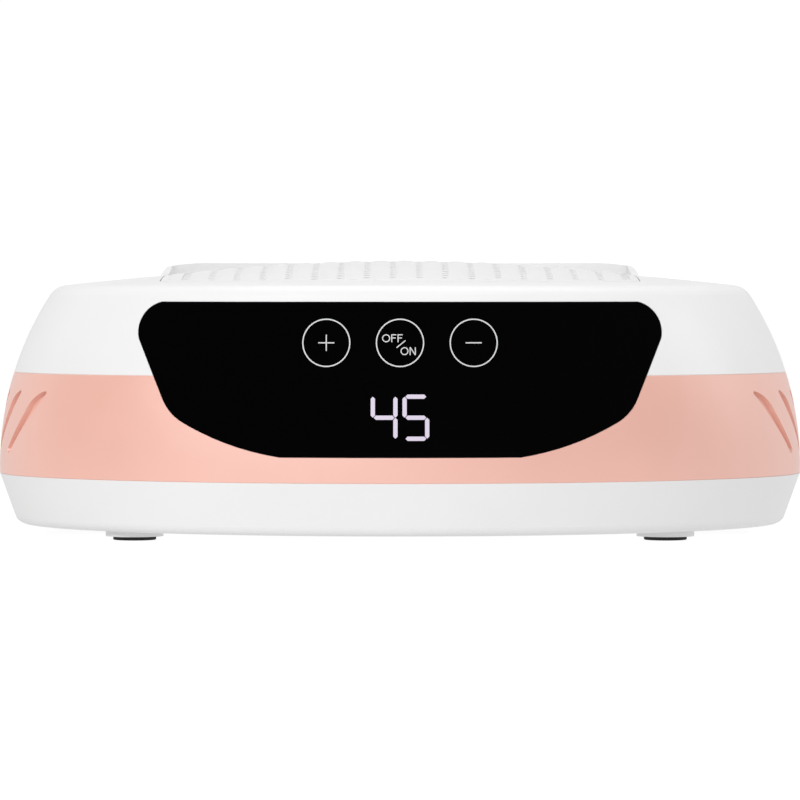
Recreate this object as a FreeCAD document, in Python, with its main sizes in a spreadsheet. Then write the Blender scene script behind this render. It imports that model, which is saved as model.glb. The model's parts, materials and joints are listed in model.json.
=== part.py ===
import FreeCAD, Part
import math
import os

import Sketcher
from FreeCAD import Rotation, Vector

# A desk-top UV LED nail lamp with a palm rest that draws filing dust in. The technician's side (-Y) has
# the touch panel and the display, and the hand goes in at the back (+Y). +Z is up, X runs along the width,
# and the origin is on the table, under the middle of the body.
#
# The shells are oval in plan: each is turned as a round body and then squeezed along Y by dims.squeeze.
# A piece whose name starts with round_ is one of those round bodies, before it is squeezed.

doc = FreeCAD.newDocument("nail_lamp")

DIMENSIONS = {
    # outer form of the body
    "body_width": 263,
    "squeeze": 0.768,
    "side_radius": 104,
    "widest_height": 21.7,
    "base_height": 3,
    "base_width": 251,
    "band_bottom": 19.6,
    "band_top": 52.6,
    "crease_radius": 113.2,
    "crown_top": 87.3,
    "wall": 2.4,
    "lip": 1.2,
    "lip_gap": 0.1,
    "edge_round": 7,
    # touch panel and display
    "panel_top": 75.7,
    "panel_bottom": 27.7,
    "panel_thickness": 1.5,
    "panel_gap": 0.15,
    "key_height": 63.4,
    "key_spacing": 22.9,
    "display_height": 40.1,
    "board_front": 84.8,
    "board_thickness": 1.6,
    # palm rest and what lies under it
    "rest_half_width": 76.5,
    "rest_radius": 99,
    "rest_thickness": 3.2,
    "dome_top": 89.15,
    "dome_across": 623,
    "dome_bend": 428,
    "rest_border": 2.3,
    "groove_pitch": 8.3,
    "groove_width": 2.7,
    "groove_depth": 0.34,
    "groove_count": 18,
    "groove_shift": 2,
    "hole_pitch": 4.8,
    "hole_size": 2.3,
    "guard_top": 88.6,
    "guard_width": 2.7,
    "guard_end_drop": 1.6,
    "deck_bottom": 70.2,
    "deck_thickness": 2,
    "filter_height": 6,
    # fans
    "fan_size": 80,
    "fan_height": 15,
    "fan_offset": 41,
    "fan_bore": 76,
    "rotor_size": 74,
    "hub_size": 32,
    "shaft_size": 3,
    # hand chamber
    "chamber_half_width": 70,
    "chamber_top": 46.5,
    "chamber_corner": 16,
    "chamber_back": 52,
    "liner_thickness": 0.8,
    "bezel_thickness": 3,
    "bezel_depth": 12,
    "tray_bottom": 5.8,
    "tray_thickness": 2.4,
    # supports
    "foot_x": 84.5,
    "foot_y": 54,
    "foot_size": 13.7,
    "foot_ring": 18.4,
    "foot_ring_bottom": 1.2,
    "screw_size": 3,
    # power inlet
    "inlet_x": 108,
    "inlet_height": 30,
    "inlet_size": 9,
}

sheet = doc.addObject("Spreadsheet::Sheet", "dims")
for row, (alias, size) in enumerate(DIMENSIONS.items(), 1):
    sheet.set(f"A{row}", alias)
    sheet.set(f"B{row}", str(size))
    sheet.setAlias(f"B{row}", alias)
doc.recompute()
reader = doc.addObject("Part::Box", "reader")
NODES = {}


def number(expression):
    """What an expression over the sheet comes to now."""
    return float(reader.evalExpression(str(expression)))


def bind(item, sizes):
    """Ties each of an object's properties to an expression over the sheet."""
    for name, expression in sizes.items():
        item.setExpression(name, str(expression))
    return item


def node(name, item):
    """Names a finished sub-part."""
    item.Label = name
    NODES[name] = item
    return item


# ---- plain solids and how they are put together


def box(name, x, y, z, length, width, height):
    """A block from its lowest corner."""
    sizes = {"Length": length, "Width": width, "Height": height}
    item = bind(doc.addObject("Part::Box", name), sizes)
    return bind(item, {"Placement.Base.x": x, "Placement.Base.y": y, "Placement.Base.z": z})


def slab(name, half_width, y_low, y_high, z_low, z_high):
    """A block centred on X, between two values of Y and of Z."""
    return box(
        name,
        f"-({half_width})",
        y_low,
        z_low,
        f"2 * ({half_width})",
        f"({y_high}) - ({y_low})",
        f"({z_high}) - ({z_low})",
    )


AXES = {"z": Rotation(), "y": Rotation(Vector(1, 0, 0), -90), "x": Rotation(Vector(0, 1, 0), 90)}


def rod(name, x, y, z, size, length, along="z"):
    """A round bar of a diameter and a length, from the middle of its first end."""
    item = bind(doc.addObject("Part::Cylinder", name), {"Radius": f"({size}) / 2", "Height": length})
    item.Placement.Rotation = AXES[along]
    return bind(item, {"Placement.Base.x": x, "Placement.Base.y": y, "Placement.Base.z": z})


def ball(name, x, y, z, size):
    item = bind(doc.addObject("Part::Sphere", name), {"Radius": f"({size}) / 2"})
    return bind(item, {"Placement.Base.x": x, "Placement.Base.y": y, "Placement.Base.z": z})


def group(name, items):
    """Separate solids that share one node."""
    item = doc.addObject("Part::Compound", name)
    item.Links = items
    return item


def fuse(name, *items):
    item = doc.addObject("Part::MultiFuse", name)
    item.Shapes = list(items)
    return item


def common(name, *items):
    item = doc.addObject("Part::MultiCommon", name)
    item.Shapes = list(items)
    return item


def cut(name, base, *tools):
    item = doc.addObject("Part::Cut", name)
    item.Base = base
    item.Tool = tools[0] if len(tools) == 1 else group(name + "_tools", list(tools))
    return item


def squeeze(name, base):
    """The oval form of a round body."""
    item = doc.addObject("Part::Scale", name)
    item.Base = base
    item.Uniform = False
    return bind(item, {"XScale": 1, "YScale": "dims.squeeze", "ZScale": 1})


def rounded(name, base, radius, chosen):
    """Rounds the edges that chosen() picks."""
    doc.recompute()
    item = doc.addObject("Part::Fillet", name)
    item.Base = base
    size = number(radius)
    edges = enumerate(base.Shape.Edges, 1)
    item.Edges = [(index, size, size) for index, edge in edges if chosen(edge)]
    return item


def upright(edge):
    """True for a straight edge along Z."""
    if len(edge.Vertexes) != 2:
        return False
    along = edge.Vertexes[1].Point - edge.Vertexes[0].Point
    return abs(along.z) > 1e-6 and along.cross(Vector(0, 0, 1)).Length < 1e-6


# ---- sketched bodies


def sketch_on(body, role, corners, lift):
    """A closed outline on one of the body's planes, through corners given as expressions (x, y). A third
    value at a corner is the radius of the arc to the next one: positive where it turns left, negative
    where it turns right."""
    sketch = body.newObject("Sketcher::SketchObject", body.Name + "_outline")
    plane = next(f for f in body.Origin.OriginFeatures if f.Role == role)
    sketch.AttachmentSupport = [(plane, "")]
    sketch.MapMode = "FlatFace"
    sketch.setExpression("AttachmentOffset.Base.z", str(lift))
    points = [Vector(number(c[0]), number(c[1]), 0) for c in corners]
    ends = []
    for index, corner in enumerate(corners):
        start, stop = points[index], points[(index + 1) % len(points)]
        if len(corner) == 2:
            ends.append((sketch.addGeometry(Part.LineSegment(start, stop)), 1, 2))
            continue
        radius = number(corner[2])
        chord = stop - start
        side = Vector(-chord.y, chord.x, 0).normalize() * math.copysign(1, radius)
        centre = (start + stop) / 2 + side * math.sqrt(radius**2 - (chord.Length / 2) ** 2)
        angles = [math.atan2(p.y - centre.y, p.x - centre.x) for p in (start, stop)]
        left = radius > 0
        circle = Part.Circle(centre, Vector(0, 0, 1), abs(radius))
        arc = Part.ArcOfCircle(circle, *(angles if left else angles[::-1]))
        ends.append((sketch.addGeometry(arc), 1 if left else 2, 2 if left else 1))
        which = sketch.addConstraint(Sketcher.Constraint("Radius", ends[-1][0], abs(radius)))
        sketch.setExpression(f"Constraints[{which}]", f"abs({corner[2]})")
    for index, (line, first, last) in enumerate(ends):
        follower = ends[(index + 1) % len(ends)]
        sketch.addConstraint(Sketcher.Constraint("Coincident", line, last, follower[0], follower[1]))
        x, y = corners[index][:2]
        for kind, size, place in (("DistanceX", x, points[index].x), ("DistanceY", y, points[index].y)):
            which = sketch.addConstraint(Sketcher.Constraint(kind, -1, 1, line, first, place))
            sketch.setExpression(f"Constraints[{which}]", str(size))
    return sketch


def turned(name, corners, axis="V_Axis", angle=360, lift_y="0"):
    """A body turned about its own upright axis, or about a level axis along X at the height lift_y."""
    body = doc.addObject("PartDesign::Body", name)
    sketch = sketch_on(body, "XZ_Plane", corners, "0")
    sketch.setExpression("AttachmentOffset.Base.y", lift_y)
    turn = body.newObject("PartDesign::Revolution", name + "_turn")
    turn.Profile = sketch
    turn.ReferenceAxis = (sketch, [axis])
    turn.Angle = angle
    turn.Midplane = angle < 360
    return body


def prism(name, role, corners, start, length):
    """An outline carried straight along its plane's normal: +Z for XY_Plane, -Y for XZ_Plane and +X for
    YZ_Plane."""
    body = doc.addObject("PartDesign::Body", name)
    sketch = sketch_on(body, role, corners, start)
    pad = body.newObject("PartDesign::Pad", name + "_pad")
    pad.Profile = sketch
    pad.setExpression("Length", str(length))
    return body


def soften(body, radius, chosen):
    """Adds a fillet to the body's last feature, on the edges that chosen() picks."""
    doc.recompute()
    edges = [f"Edge{i}" for i, edge in enumerate(body.Tip.Shape.Edges, 1) if chosen(edge)]
    base = body.Tip
    fillet = body.newObject("PartDesign::Fillet", body.Name + "_round")
    fillet.Base = (base, edges)
    fillet.setExpression("Radius", str(radius))
    return body


# ---- the outer form

HALF = "dims.body_width / 2"
CREASE_REACH = f"(dims.crease_radius - {HALF} + dims.side_radius)"
CREASE_HEIGHT = f"(dims.widest_height + sqrt(dims.side_radius^2 - {CREASE_REACH}^2))"
RISE = f"(dims.crown_top - {CREASE_HEIGHT})"
CROWN_RADIUS = f"((dims.crease_radius^2 + {RISE}^2) / (2 * {RISE}))"


def side(height, inset="0"):
    """Distance of the round body's side from the axis, at a height, on a wall set in by inset."""
    rise = f"(({height}) - dims.widest_height)"
    return f"({HALF} - dims.side_radius + sqrt((dims.side_radius - ({inset}))^2 - {rise}^2))"


def crown(distance, drop="0"):
    """Height of the crown at a distance from the axis, drop below its surface."""
    return f"(dims.crown_top - {CROWN_RADIUS} + sqrt(({CROWN_RADIUS} - ({drop}))^2 - ({distance})^2))"


def envelope(name, inset):
    """The whole round body, set in by inset: a slanted base, a bowed side and the crown."""
    low = f"(dims.base_height + ({inset}))"
    foot = f"(dims.base_width / 2 - ({inset}))"
    reach = f"(dims.crease_radius - ({inset}))"
    corners = [
        ("0", low),
        (foot, low),
        (side("dims.band_bottom", inset), "dims.band_bottom", f"dims.side_radius - ({inset})"),
        (reach, crown(reach, inset), f"{CROWN_RADIUS} - ({inset})"),
        ("0", f"dims.crown_top - ({inset})"),
    ]
    return turned(name, corners)


def plan(name, half_width, radius, start, length, corner):
    """An upright prism with two straight sides at +-half_width and two round ends, before squeezing."""
    reach = f"sqrt(({radius})^2 - ({half_width})^2)"
    corners = [
        (half_width, f"-{reach}"),
        (half_width, reach, radius),
        (f"-({half_width})", reach),
        (f"-({half_width})", f"-{reach}", radius),
    ]
    return soften(prism(name, "XY_Plane", corners, start, length), corner, upright)


def arch(name, half_width, top, bottom, corner, y_high, y_low):
    """A tunnel-shaped prism along Y: upright sides, a flat roof and two round shoulders."""
    corners = [
        (half_width, bottom),
        (half_width, f"({top}) - ({corner})", corner),
        (f"({half_width}) - ({corner})", top),
        (f"-({half_width}) + ({corner})", top, corner),
        (f"-({half_width})", f"({top}) - ({corner})"),
        (f"-({half_width})", bottom),
    ]
    return prism(name, "XZ_Plane", corners, f"-({y_high})", f"({y_high}) - ({y_low})")


outside = squeeze("outside", envelope("round_outside", "0"))
panel_floor = squeeze("panel_floor", envelope("round_panel_floor", "dims.panel_thickness + dims.panel_gap"))
panel_back = squeeze("panel_back", envelope("round_panel_back", "dims.panel_thickness"))
post_limit = squeeze("post_limit", envelope("round_post_limit", "dims.wall / 2"))

# ---- openings shared by several shells

MOUTH_HALF = "dims.chamber_half_width + dims.liner_thickness + 0.4 + dims.bezel_thickness"
MOUTH_TOP = "dims.chamber_top + dims.liner_thickness + 0.4 + dims.bezel_thickness"
FLOOR_TOP = "dims.base_height + dims.wall"
mouth = arch("mouth", MOUTH_HALF, MOUTH_TOP, FLOOR_TOP, "dims.chamber_corner + 4", "120", "40")


def panel_outline(name, grow, y_high, y_low):
    """The touch panel seen from the front: a wide top, slanted sides and a bowed bottom, grown by grow."""
    right = [
        (37.4, "dims.panel_bottom", 88),
        (67.5, "dims.panel_bottom + 10.3", 15),
        (74.4, "dims.panel_bottom + 18.1"),
        (82.2, "dims.panel_bottom + 36.6", 9.6),
        (75, "dims.panel_top"),
    ]
    grown = {0: (0, -1), 1: (0.6, -0.8), 2: (0.95, -0.3), 3: (1, 0), 4: (0, 1)}
    corners = []
    for index, (x, z, *bend) in enumerate(right):
        out, up = grown[index]
        radius = [f"{b} + ({grow})" for b in bend]
        corners.append((f"{x} + {out} * ({grow})", f"{z} + {up} * ({grow})", *radius))
    for index, (x, z, *_) in reversed(list(enumerate(right))):
        out, up = grown[index]
        before = right[index - 1][2:] if index else ()
        radius = [f"{b} + ({grow})" for b in before]
        corners.append((f"-({x} + {out} * ({grow}))", f"{z} + {up} * ({grow})", *radius))
    return prism(name, "XZ_Plane", corners, f"-({y_high})", f"({y_high}) - ({y_low})")


panel_recess = cut(
    "panel_recess", panel_outline("panel_hole", "dims.panel_gap", "-60", "-110"), panel_floor
)
display_window = slab(
    "display_window", 14, -105, -80, "dims.display_height - 10", "dims.display_height + 10"
)
KEY_PLACES = ["-dims.key_spacing", "0", "dims.key_spacing"]
key_windows = [
    rod(f"key_window_{i}", x, -105, "dims.key_height", 13, 25, "y") for i, x in enumerate(KEY_PLACES)
]

CORNERS = [(sx, sy) for sx in (-1, 1) for sy in (-1, 1)]


def at_feet(name, size, low, high):
    """A round bar at each of the four case screws."""
    return [
        rod(f"{name}_{i}", f"{sx} * dims.foot_x", f"{sy} * dims.foot_y", low, size, f"({high}) - ({low})")
        for i, (sx, sy) in enumerate(CORNERS)
    ]


BOARD_POST_X = 34.5


def board_posts(name, height, reach):
    """Two posts that run back from a shell's front wall to the control board."""
    return [
        rod(f"{name}_{s}", s * BOARD_POST_X, f"-{reach}", height, 5, f"{reach} - dims.board_front", "y")
        for s in (-1, 1)
    ]


# ---- lower tub

POST_BOTTOM = 12.2
DRIVER_BOTTOM = 12
EDGE = 0.2
lip_out = "dims.wall + dims.lip_gap"
lip_in = "dims.wall + dims.lip_gap + dims.lip"
round_tub = turned(
    "round_tub",
    [
        ("0", "dims.base_height"),
        ("dims.base_width / 2", "dims.base_height"),
        (side("dims.band_bottom"), "dims.band_bottom"),
        (side("dims.band_bottom", lip_out), "dims.band_bottom"),
        (side("dims.band_bottom + 2.6", lip_out), "dims.band_bottom + 2.6"),
        (side("dims.band_bottom + 2.6", lip_in), "dims.band_bottom + 2.6"),
        (side("dims.band_bottom - 3", lip_in), "dims.band_bottom - 3"),
        ("dims.base_width / 2 - 1.2 * dims.wall", FLOOR_TOP),
        ("0", FLOOR_TOP),
    ],
)
soften(
    round_tub,
    4,
    lambda edge: abs(edge.CenterOfMass.z - number("dims.base_height")) < 0.01 and edge.Length > 600,
)
DRIVER_POSTS = [(sx * 45, y) for sx in (-1, 1) for y in (-77, -61)]
driver_posts = [
    rod(f"driver_post_{i}", x, y, 4, 6, DRIVER_BOTTOM - 4) for i, (x, y) in enumerate(DRIVER_POSTS)
]
driver_post_holes = [
    rod(f"driver_post_hole_{i}", x, y, 6, 2.1, 10) for i, (x, y) in enumerate(DRIVER_POSTS)
]
tub = fuse(
    "tub_solid",
    squeeze("tub_oval", round_tub),
    *at_feet("foot_ring", "dims.foot_ring", "dims.foot_ring_bottom", "dims.base_height + 1"),
    *at_feet("tub_boss", 10, "dims.base_height + 1", POST_BOTTOM),
    *driver_posts,
)
VENTS = 7
floor_vents = [
    box(f"floor_vent_{s}_{i}", f"{s} * 101 + {4 * i - 13}", -17, 0, 2, 34, 12)
    for s in (-1, 1)
    for i in range(VENTS)
]
catch_seats = [rod(f"catch_seat_{s}", s * 50, -40, "dims.base_height + 0.8", 6.2, 5) for s in (-1, 1)]
node(
    "lower_tub",
    cut(
        "lower_tub",
        tub,
        mouth,
        *at_feet("pad_recess", "dims.foot_size + 0.3", 0, "dims.foot_ring_bottom + 0.9"),
        *at_feet("head_recess", 6.5, 0, 7.4),
        *at_feet("case_screw_hole", "dims.screw_size + 0.4", 0, 20),
        *driver_post_holes,
        *catch_seats,
        *floor_vents,
    ),
)

# ---- accent band

round_band = turned(
    "round_band",
    [
        (side(f"dims.band_bottom + {EDGE}"), f"dims.band_bottom + {EDGE}", "dims.side_radius"),
        (side(f"dims.band_top - {EDGE}"), f"dims.band_top - {EDGE}"),
        (side("dims.band_top", EDGE), "dims.band_top"),
        (side("dims.band_top", "dims.wall"), "dims.band_top", "-(dims.side_radius - dims.wall)"),
        (side("dims.band_bottom", "dims.wall"), "dims.band_bottom"),
        (side("dims.band_bottom", EDGE), "dims.band_bottom"),
    ],
)

# Leaf-shaped grooves stand in a row along each side of the band. They stop short of the wall's inner face.
LEAF = [(-46.9, 46.3, -0.7), (-46, 47.1, -14.4), (-36.5, 40.2, 86), (-25, 28.2, -1.4), (-27.4, 27.1, -115)]
LEAF_PITCH = 16.8
LEAVES = 5
leaf_prisms = []
for index in range(LEAVES):
    leaf = [(y + index * LEAF_PITCH, z, bend) for y, z, bend in LEAF]
    leaf_prisms.append(prism(f"leaf_{index}", "YZ_Plane", leaf, -140, 280))
leaf_floor = squeeze("leaf_floor", envelope("round_leaf_floor", "dims.wall - 0.8"))
leaves = cut("leaves", group("leaf_prisms", leaf_prisms), leaf_floor)
INLET_SHARE = "(dims.inlet_x / (dims.body_width / 2))"
INLET_Y = f"(dims.squeeze * dims.body_width / 2 * sqrt(1 - {INLET_SHARE}^2))"


def inlet_turn():
    """Angle in plan between +Y and the outward normal of the oval at the power inlet."""
    x, y = number("dims.inlet_x"), number(INLET_Y)
    return math.degrees(math.atan2(x * number("dims.squeeze") ** 2, y))


def at_inlet(item):
    """Turns a piece made along +Z, with the wall's surface at z = 0, to face out of the power inlet."""
    outward = Rotation(Vector(0, 0, 1), -inlet_turn()).multiply(AXES["y"])
    item.Placement.Rotation = outward
    return bind(
        item,
        {
            "Placement.Base.x": "dims.inlet_x",
            "Placement.Base.y": INLET_Y,
            "Placement.Base.z": "dims.inlet_height",
        },
    )


inlet_hole = at_inlet(group("inlet_hole", [rod("inlet_cutter", 0, 0, -8, "dims.inlet_size + 0.2", 16)]))
band_posts = common("band_posts", post_limit, group("band_post_rods", board_posts("band_post", 33, 97)))
node(
    "accent_band",
    cut(
        "accent_band",
        fuse("band_solid", squeeze("band_oval", round_band), band_posts),
        mouth,
        panel_recess,
        display_window,
        inlet_hole,
        leaves,
        *[rod(f"band_post_hole_{s}", s * BOARD_POST_X, -92, 33, 2.1, 10, "y") for s in (-1, 1)],
    ),
)

# ---- upper cover

round_cover = turned(
    "round_cover",
    [
        (side("dims.band_top", EDGE), "dims.band_top"),
        (side(f"dims.band_top + {EDGE}"), f"dims.band_top + {EDGE}", "dims.side_radius"),
        ("dims.crease_radius", CREASE_HEIGHT, CROWN_RADIUS),
        ("0", "dims.crown_top"),
        ("0", "dims.crown_top - dims.wall", f"-({CROWN_RADIUS} - dims.wall)"),
        ("dims.crease_radius - dims.wall", crown("dims.crease_radius - dims.wall", "dims.wall")),
        (side("dims.band_top + 24", "dims.wall"), "dims.band_top + 24", "-(dims.side_radius - dims.wall)"),
        (side("dims.band_top + 4", "dims.wall"), "dims.band_top + 4"),
        (side("dims.band_top + 2", lip_in), "dims.band_top + 2"),
        (side("dims.band_top - 1.9", lip_in), "dims.band_top - 1.9"),
        (side("dims.band_top - 1.9", lip_out), "dims.band_top - 1.9"),
        (side("dims.band_top", lip_out), "dims.band_top"),
    ],
)
soften(
    round_cover,
    "dims.edge_round",
    lambda edge: abs(edge.CenterOfMass.z - number(CREASE_HEIGHT)) < 0.01 and edge.Length > 650,
)

REST_W, REST_R = "dims.rest_half_width", "dims.rest_radius"
WELL_W, WELL_R = "(dims.rest_half_width - dims.rest_border)", "(dims.rest_radius - dims.rest_border)"
DECK_TOP = "dims.deck_bottom + dims.deck_thickness"


def under_crown(name, drop):
    """Everything that lies more than drop under the round body's crown."""
    corners = [
        ("0", "30"),
        ("112", "30"),
        ("112", crown(112, drop), f"{CROWN_RADIUS} - ({drop})"),
        ("0", f"dims.crown_top - ({drop})"),
    ]
    return turned(name, corners)


skirt = common(
    "round_skirt",
    plan("round_skirt_outer", f"{REST_W} + 1.5", f"{REST_R} + 1.5", DECK_TOP, 20, 9),
    envelope("round_skirt_limit", "1"),
)
guard_block = plan(
    "round_guard_block",
    "dims.rest_half_width + dims.guard_width",
    "dims.rest_radius + 5",
    76,
    "dims.guard_top - 76",
    16,
)
soften(guard_block, 3.6, lambda edge: abs(edge.BoundBox.ZMin - number("dims.guard_top")) < 0.01)
guard_ramp = prism(
    "round_guard_ramp",
    "YZ_Plane",
    [
        ("-130", "70"),
        ("-14", "70"),
        ("-14", "82"),
        ("76", "dims.guard_top + 0.4"),
        ("76", "100"),
        ("-130", "100"),
    ],
    -100,
    200,
)
GUARD_FLAT = 66
guard_end = "(dims.rest_half_width + dims.guard_width + 1)"
GUARD_BEND = f"((({guard_end} - {GUARD_FLAT})^2 + dims.guard_end_drop^2) / (2 * dims.guard_end_drop))"
guard_arch = prism(
    "round_guard_arch",
    "XZ_Plane",
    [
        (guard_end, 70),
        (guard_end, "dims.guard_top - dims.guard_end_drop", GUARD_BEND),
        (GUARD_FLAT, "dims.guard_top"),
        (-GUARD_FLAT, "dims.guard_top", GUARD_BEND),
        (f"-{guard_end}", "dims.guard_top - dims.guard_end_drop"),
        (f"-{guard_end}", 70),
    ],
    -110,
    220,
)
guard = cut("round_guard", common("round_guard_shape", guard_block, guard_arch), guard_ramp)
rest_hole = plan("round_rest_hole", f"{REST_W} + 0.35", f"{REST_R} + 0.35", 60, 60, 7.5)
rest_recess = cut("round_rest_recess", rest_hole, under_crown("round_ledge", "dims.rest_thickness + 0.15"))
well = plan("round_well", WELL_W, WELL_R, 60, 60, 5)
DECK_SCREWS = [(sx * 30, sy * 74.4) for sx, sy in CORNERS]
deck_bosses = [rod(f"deck_boss_{i}", x, y, DECK_TOP, 5.4, 6) for i, (x, y) in enumerate(DECK_SCREWS)]
deck_boss_holes = [rod(f"deck_boss_hole_{i}", x, y, 71, 2.1, 6) for i, (x, y) in enumerate(DECK_SCREWS)]
cover_oval = squeeze(
    "cover_oval",
    cut("round_cover_cut", fuse("round_cover_solid", round_cover, skirt, guard), rest_recess, well),
)
cover_posts = common(
    "cover_posts",
    post_limit,
    group(
        "cover_post_rods",
        at_feet("cover_post", 8, POST_BOTTOM, 84) + board_posts("cover_board_post", 65, 88.5) + deck_bosses,
    ),
)
node(
    "upper_cover",
    cut(
        "upper_cover",
        fuse("cover_solid", cover_oval, cover_posts),
        panel_recess,
        *key_windows,
        *at_feet("post_hole", "dims.screw_size + 0.1", 5, 28),
        *deck_boss_holes,
        *[rod(f"cover_post_hole_{s}", s * BOARD_POST_X, -86.5, 65, 2.1, 10, "y") for s in (-1, 1)],
    ),
)

# ---- touch panel, its electronics and the display

node(
    "touch_panel",
    cut(
        "touch_panel",
        common("panel_solid", outside, panel_outline("panel_prism", "0", "-60", "-110")),
        panel_back,
    ),
)
BOARD_BACK = "-(dims.board_front - dims.board_thickness)"
board_screw_spots = [(s * BOARD_POST_X, z) for s in (-1, 1) for z in (33, 65)]
node(
    "control_board",
    cut(
        "control_board",
        slab("control_board_plate", 38, "-dims.board_front", BOARD_BACK, 29, 68.5),
        *[rod(f"board_hole_{i}", x, -90, z, 2.6, 12, "y") for i, (x, z) in enumerate(board_screw_spots)],
    ),
)


def screw_along_y(name, x, z, y_head):
    """A pan-head screw that points to -Y, with the underside of its head at y_head."""
    head = rod(name + "_head", x, y_head, z, 4, 1.5, "y")
    shank = rod(name + "_shank", x, f"({y_head}) - 3", z, 2, 3.2, "y")
    return fuse(name, head, shank)


def screw_up(name, x, y, z_head, size, length, head_size, head_height):
    """A screw that points up, with the underside of its shank's end at z_head + head_height + length."""
    head = rod(name + "_head", x, y, z_head, head_size, head_height)
    shank = rod(name + "_shank", x, y, f"{z_head} + {head_height} - 0.1", size, f"{length} + 0.1")
    return fuse(name, head, shank)


node(
    "board_screws",
    group(
        "board_screws",
        [screw_along_y(f"board_screw_{i}", x, z, BOARD_BACK) for i, (x, z) in enumerate(board_screw_spots)],
    ),
)
node(
    "display_module",
    slab(
        "display_module",
        12.5,
        -95.6,
        "-dims.board_front",
        "dims.display_height - 9.5",
        "dims.display_height + 9.5",
    ),
)
springs = []
for index, (x, reach) in enumerate(zip(KEY_PLACES, (89, 91.2, 89))):
    cup = rod(
        f"key_spring_cup_{index}", x, f"-{reach}", "dims.key_height", 9, f"{reach} - dims.board_front", "y"
    )
    hollow = rod(f"key_spring_hollow_{index}", x, f"-{reach} + 0.6", "dims.key_height", 7.8, 12, "y")
    springs.append(cut(f"key_spring_{index}", cup, hollow))
node("touch_springs", group("touch_springs", springs))
node("controller_chip", box("controller_chip", -6, BOARD_BACK, 44, 12, 1.6, 12))
node("buzzer", rod("buzzer", 24, BOARD_BACK, 50, 9, 4.5, "y"))

# ---- LED driver board on the tub's floor

DRIVER_TOP = "12 + dims.board_thickness"
node(
    "driver_board",
    cut(
        "driver_board",
        slab("driver_board_plate", 50, -81.5, -57, DRIVER_BOTTOM, DRIVER_TOP),
        *[rod(f"driver_hole_{i}", x, y, 10, 2.6, 6) for i, (x, y) in enumerate(DRIVER_POSTS)],
    ),
)
driver_screws = []
for index, (x, y) in enumerate(DRIVER_POSTS):
    head = rod(f"driver_screw_head_{index}", x, y, DRIVER_TOP, 4, 1.5)
    shank = rod(f"driver_screw_shank_{index}", x, y, 8.5, 2, "3.6 + dims.board_thickness")
    driver_screws.append(fuse(f"driver_screw_{index}", head, shank))
node("driver_screws", group("driver_screws", driver_screws))
node(
    "capacitors",
    group(
        "capacitors",
        [rod(f"capacitor_{i}", x, -68, DRIVER_TOP, 10, 13) for i, x in enumerate((-32, -20, 32))],
    ),
)
inductors = []
for index, x in enumerate((-5, 14)):
    ring = rod(f"inductor_ring_{index}", x, -70, DRIVER_TOP, 13, 6)
    inductors.append(cut(f"inductor_{index}", ring, rod(f"inductor_core_{index}", x, -70, 10, 5, 20)))
node("inductors", group("inductors", inductors))
fins = [
    box(f"fin_{i}", f"-6 + {3.2 * i}", -61.5, "12 + dims.board_thickness + 2", 1.2, 3.4, 9)
    for i in range(5)
]
node("heat_sink", fuse("heat_sink", box("heat_sink_base", -6, -62.5, DRIVER_TOP, 14, 1.6, 11), *fins))

# ---- hand chamber

LINER_HALF = "dims.chamber_half_width + dims.liner_thickness"
LINER_TOP = "dims.chamber_top + dims.liner_thickness"
LED_ROOF = [(x, y) for x in (-42, 0, 42) for y in range(-34, 57, 18)]
LED_SIDE = [(y, 27) for y in range(-34, 57, 18)]
led_holes = [rod(f"led_hole_{i}", x, y, 44, 6, 8) for i, (x, y) in enumerate(LED_ROOF)]
led_side_holes = [rod(f"led_side_hole_{i}", -80, y, z, 6, 160, "x") for i, (y, z) in enumerate(LED_SIDE)]
inner_corner = "dims.chamber_corner"
liner_block = arch(
    "liner_block",
    LINER_HALF,
    LINER_TOP,
    "5.7",
    f"{inner_corner} + dims.liner_thickness",
    110,
    "-dims.chamber_back",
)
liner_space = arch(
    "liner_space",
    "dims.chamber_half_width",
    "dims.chamber_top",
    "0",
    inner_corner,
    120,
    "-dims.chamber_back + dims.liner_thickness",
)
liner_limit = squeeze("liner_limit", envelope("round_liner_limit", "0.8"))
sensor_hole = slab("sensor_hole", 4.3, 66, 72.6, 44, 50)
node(
    "chamber_liner",
    common(
        "chamber_liner",
        liner_limit,
        cut("liner_sheet", liner_block, liner_space, sensor_hole, *led_holes, *led_side_holes),
    ),
)
bezel_ring = cut(
    "bezel_ring",
    arch(
        "bezel_block",
        f"{LINER_HALF} + 0.2 + dims.bezel_thickness",
        f"{LINER_TOP} + 0.2 + dims.bezel_thickness",
        f"{FLOOR_TOP} + 0.1",
        f"{inner_corner} + 3.8",
        110,
        50,
    ),
    arch("bezel_space", f"{LINER_HALF} + 0.2", f"{LINER_TOP} + 0.2", "0", f"{inner_corner} + 1", 120, 40),
)
bezel_limit = squeeze("bezel_limit", envelope("round_bezel_limit", "dims.bezel_depth"))
node("mouth_bezel", common("mouth_bezel", outside, cut("bezel_cut", bezel_ring, bezel_limit)))

BOARD_LOW = f"{LINER_TOP} + 1"
node(
    "led_board_roof", slab("led_board_roof", 60, -44, 74, BOARD_LOW, f"{BOARD_LOW} + dims.board_thickness")
)


def led(name, x, y, z, along, length):
    """One LED: a round package and a lens that stands out of the liner. It points along -Z, +X or -X."""
    if along == "z":
        package = rod(name + "_package", x, y, f"({z}) - {length}", 5, length)
        lens = ball(name + "_lens", x, y, f"({z}) - {length}", 4.2)
        return fuse(name, package, lens)
    sign = 1 if along == "+x" else -1
    start = f"({x})" if sign > 0 else f"({x}) - {length}"
    package = rod(name + "_package", start, y, z, 5, length, "x")
    lens = ball(name + "_lens", f"({x}) + {sign * length}", y, z, 4.2)
    return fuse(name, package, lens)


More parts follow.
